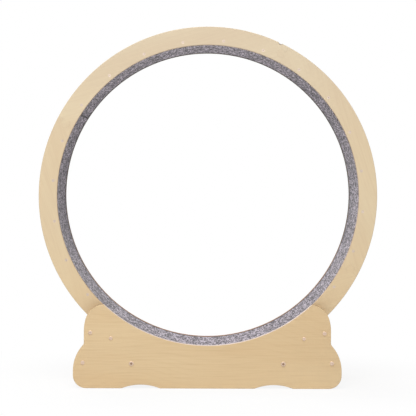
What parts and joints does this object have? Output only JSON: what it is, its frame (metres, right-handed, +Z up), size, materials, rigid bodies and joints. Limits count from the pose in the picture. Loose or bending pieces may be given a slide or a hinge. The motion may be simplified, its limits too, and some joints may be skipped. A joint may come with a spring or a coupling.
{
  "type": "cat exercise wheel",
  "caption": "Free-standing plywood cat exercise wheel: slatted carpet-lined wheel between two flat rings, running on rubber-tyred rollers in a low cradle base.",
  "frame": {"origin": "on the floor, midway between the two side panels, straight below the wheel's axis", "axes": "+Z up (height, the longest side); +Y from the front panel to the rear one, along the wheel's axis (the shortest side); +X to the right seen from the front"},
  "size_m": [0.91, 0.3544, 0.9701],
  "materials": {
    "ring_ply": "pale birch ply, sanded, clear matt",
    "slat_ply": "pale birch ply, sanded, clear matt",
    "base_ply": "pale basswood ply, sanded, clear matt",
    "carpet": "needled grey carpet, flecked",
    "hook_tape": "black hook tape",
    "zinc_steel": "zinc-plated, satin",
    "bright_steel": "bright drawn steel, satin",
    "nickel_steel": "nickel-plated, satin",
    "bearing_steel": "ground bearing steel",
    "nylon": "natural nylon",
    "hub_plastic": "moulded dark grey nylon",
    "tyre_rubber": "soft dark grey tyre"
  },
  "bodies": {
    "base": {"side_panel_front": "base_ply", "side_panel_rear": "base_ply", "end_board_left": "base_ply", "end_board_right": "base_ply", "axle_left": "bright_steel", "axle_right": "bright_steel", "axle_spacers": "bright_steel", "axle_cap_nuts": "nickel_steel", "connector_bolts": "nickel_steel", "barrel_nuts": "bright_steel", "side_guides": "nylon", "guide_screws": "nickel_steel"},
    "wheel": {"front_ring_1": "ring_ply", "front_ring_2": "ring_ply", "front_ring_3": "ring_ply", "front_ring_4": "ring_ply", "rear_ring_1": "ring_ply", "rear_ring_2": "ring_ply", "rear_ring_3": "ring_ply", "rear_ring_4": "ring_ply", "slat_01": "slat_ply", "slat_02": "slat_ply", "slat_03": "slat_ply", "slat_04": "slat_ply", "slat_05": "slat_ply", "slat_06": "slat_ply", "slat_07": "slat_ply", "slat_08": "slat_ply", "slat_09": "slat_ply", "slat_10": "slat_ply", "slat_11": "slat_ply", "slat_12": "slat_ply", "slat_13": "slat_ply", "slat_14": "slat_ply", "slat_15": "slat_ply", "slat_16": "slat_ply", "slat_17": "slat_ply", "slat_18": "slat_ply", "slat_19": "slat_ply", "slat_20": "slat_ply", "slat_21": "slat_ply", "slat_22": "slat_ply", "slat_23": "slat_ply", "slat_24": "slat_ply", "carpet_strip": "carpet", "hook_tapes": "hook_tape", "ring_screws_front": "zinc_steel", "ring_screws_rear": "zinc_steel"},
    "roller_front_left": {"tyre_front_left": "tyre_rubber", "hub_front_left": "hub_plastic", "bearings_front_left": "bearing_steel"},
    "roller_front_right": {"tyre_front_right": "tyre_rubber", "hub_front_right": "hub_plastic", "bearings_front_right": "bearing_steel"},
    "roller_rear_left": {"tyre_rear_left": "tyre_rubber", "hub_rear_left": "hub_plastic", "bearings_rear_left": "bearing_steel"},
    "roller_rear_right": {"tyre_rear_right": "tyre_rubber", "hub_rear_right": "hub_plastic", "bearings_rear_right": "bearing_steel"}
  },
  "joints": [
    {"name": "wheel_spin", "type": "hinge", "parent": "base", "child": "wheel", "pos_m": [0, 0, 0.51512], "axis": [0, 1, 0], "continuous": true},
    {"name": "roller_front_left_spin", "type": "hinge", "parent": "base", "child": "roller_front_left", "pos_m": [-0.2035, -0.144, 0.0663], "axis": [0, 1, 0], "continuous": true},
    {"name": "roller_front_right_spin", "type": "hinge", "parent": "base", "child": "roller_front_right", "pos_m": [0.2035, -0.144, 0.0663], "axis": [0, 1, 0], "continuous": true},
    {"name": "roller_rear_left_spin", "type": "hinge", "parent": "base", "child": "roller_rear_left", "pos_m": [-0.2035, 0.144, 0.0663], "axis": [0, 1, 0], "continuous": true},
    {"name": "roller_rear_right_spin", "type": "hinge", "parent": "base", "child": "roller_rear_right", "pos_m": [0.2035, 0.144, 0.0663], "axis": [0, 1, 0], "continuous": true}
  ],
  "couplings": [
    {"joint": "roller_front_left_spin", "follows": "wheel_spin", "ratio": -12.133},
    {"joint": "roller_front_right_spin", "follows": "wheel_spin", "ratio": -12.133},
    {"joint": "roller_rear_left_spin", "follows": "wheel_spin", "ratio": -12.133},
    {"joint": "roller_rear_right_spin", "follows": "wheel_spin", "ratio": -12.133}
  ]
}
